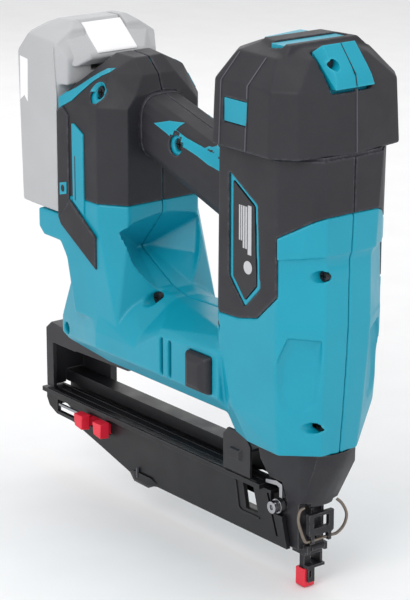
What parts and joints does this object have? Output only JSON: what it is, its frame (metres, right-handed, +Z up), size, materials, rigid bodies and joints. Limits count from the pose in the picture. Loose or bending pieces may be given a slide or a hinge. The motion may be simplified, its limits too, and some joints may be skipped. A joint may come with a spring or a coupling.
{
  "type": "cordless brad nailer",
  "caption": "Upright cordless brad nailer: twin-shell body with capped driver head, side-opening magazine, latched nose with contact tip, and slide-on battery.",
  "frame": {"origin": "middle of the contact tip's front pad, on the work face; the driver axis is 3.2 mm behind it", "axes": "+X from the battery towards the driver body (the tool's front), +Y to the tool's left, +Z up along the driver axis, away from the work"},
  "size_m": [0.281, 0.092, 0.323],
  "materials": {
    "housing_shell": "fine satin texture",
    "soft_grip": "fine-grained soft moulding",
    "black_plastic": "satin, slightly scuffed",
    "grey_plastic": "satin",
    "nose_casting": "dark coated casting",
    "bright_steel": "zinc plated",
    "spring_wire": "drawn spring wire",
    "red_plastic": "satin",
    "pack_plastic": "pale satin",
    "light_alloy": "as machined",
    "circuit_board": "coated board",
    "motor_core": "laminated core and winding"
  },
  "bodies": {
    "housing": {"right_housing": "housing_shell", "left_housing": "housing_shell", "head_cover": "housing_shell", "head_bumper": "soft_grip", "right_body_overmold": "soft_grip", "left_body_overmold": "soft_grip", "right_handle_grip": "soft_grip", "left_handle_grip": "soft_grip", "right_foot_overmold": "soft_grip", "left_foot_overmold": "soft_grip", "name_plate": "grey_plastic", "right_side_pad": "soft_grip", "left_side_pad": "soft_grip", "terminal_block": "black_plastic", "control_board": "circuit_board", "screw_body_lower": "bright_steel", "screw_body_upper": "bright_steel", "screw_arm_front": "bright_steel", "screw_arm_rear": "bright_steel", "screw_rear_boss": "bright_steel", "screw_handle": "bright_steel", "screw_foot": "bright_steel", "cylinder": "light_alloy", "air_chamber": "light_alloy", "piston_bumper": "soft_grip", "gearbox_case": "light_alloy", "motor_can": "bright_steel", "nose_base": "nose_casting", "contact_spring": "spring_wire", "nose_bolt": "bright_steel", "bolt_washer": "bright_steel", "guide_clip": "bright_steel", "magazine_rail": "black_plastic", "rear_bracket": "grey_plastic", "front_bracket": "grey_plastic", "trigger_pin": "bright_steel", "trigger_switch": "black_plastic", "trigger_spring": "spring_wire"},
    "battery_pack": {"battery_case": "pack_plastic", "battery_cells": "light_alloy"},
    "battery_button": {"battery_button": "pack_plastic"},
    "driver": {"piston": "light_alloy", "driver_blade": "bright_steel"},
    "lifter": {"lifter_wheel": "bright_steel"},
    "rotor": {"motor_rotor": "motor_core", "cooling_fan": "black_plastic"},
    "contact": {"contact_arm": "nose_casting", "contact_tip": "red_plastic"},
    "nose_door": {"nose_door": "nose_casting"},
    "latch": {"latch_lever": "nose_casting"},
    "bail": {"wire_bail": "spring_wire"},
    "cover": {"magazine_cover": "black_plastic", "cover_grip": "red_plastic"},
    "release": {"cover_release": "red_plastic"},
    "pusher": {"pusher": "bright_steel", "pusher_spring": "spring_wire"},
    "trigger": {"trigger": "black_plastic"}
  },
  "joints": [
    {"name": "battery_slide", "type": "slide", "parent": "housing", "child": "battery_pack", "axis": [0, 0, 1], "range_m": [0, 0.13]},
    {"name": "battery_button_press", "type": "slide", "parent": "battery_pack", "child": "battery_button", "axis": [0, 0, -1], "range_m": [0, 0.0035], "stiffness_N_per_m": 400, "springref_m": -0.003},
    {"name": "driver_stroke", "type": "slide", "parent": "housing", "child": "driver", "axis": [0, 0, -1], "range_m": [0, 0.078]},
    {"name": "motor_spin", "type": "hinge", "parent": "housing", "child": "rotor", "pos_m": [-0.1245, 0, 0.122], "axis": [1, 0, 0], "continuous": true},
    {"name": "lifter_spin", "type": "hinge", "parent": "housing", "child": "lifter", "pos_m": [-0.0032, 0.017, 0.146], "axis": [1, 0, 0], "continuous": true},
    {"name": "contact_slide", "type": "slide", "parent": "housing", "child": "contact", "axis": [0, 0, 1], "range_m": [0, 0.008], "stiffness_N_per_m": 350, "springref_m": -0.008, "deforming": ["contact_spring"]},
    {"name": "nose_door_swing", "type": "hinge", "parent": "housing", "child": "nose_door", "pos_m": [0.0065, 0, 0.0266], "axis": [0, 1, 0], "range_deg": [0, 75]},
    {"name": "latch_swing", "type": "hinge", "parent": "nose_door", "child": "latch", "pos_m": [0.0089, 0, 0.0484], "axis": [0, -1, 0], "range_deg": [0, 100]},
    {"name": "bail_swing", "type": "hinge", "parent": "latch", "child": "bail", "pos_m": [0.0097, 0, 0.033], "axis": [0, 1, 0], "range_deg": [0, 100]},
    {"name": "cover_slide", "type": "slide", "parent": "housing", "child": "cover", "axis": [-1, 0, 0], "range_m": [0, 0.13]},
    {"name": "release_squeeze", "type": "slide", "parent": "cover", "child": "release", "axis": [1, 0, 0], "range_m": [0, 0.008], "stiffness_N_per_m": 300, "springref_m": -0.006},
    {"name": "pusher_slide", "type": "slide", "parent": "cover", "child": "pusher", "axis": [-1, 0, 0], "range_m": [0, 0.085], "stiffness_N_per_m": 30, "springref_m": -0.12},
    {"name": "trigger_pull", "type": "hinge", "parent": "housing", "child": "trigger", "pos_m": [-0.0601, 0, 0.2146], "axis": [0, 1, 0], "range_deg": [0, 12], "stiffness_Nm_per_rad": 0.4, "springref_deg": -17.19, "deforming": ["trigger_spring"]}
  ],
  "couplings": [
    {"joint": "lifter_spin", "follows": "motor_spin", "ratio": -0.04},
    {"joint": "bail_swing", "follows": "latch_swing", "ratio": 1}
  ]
}
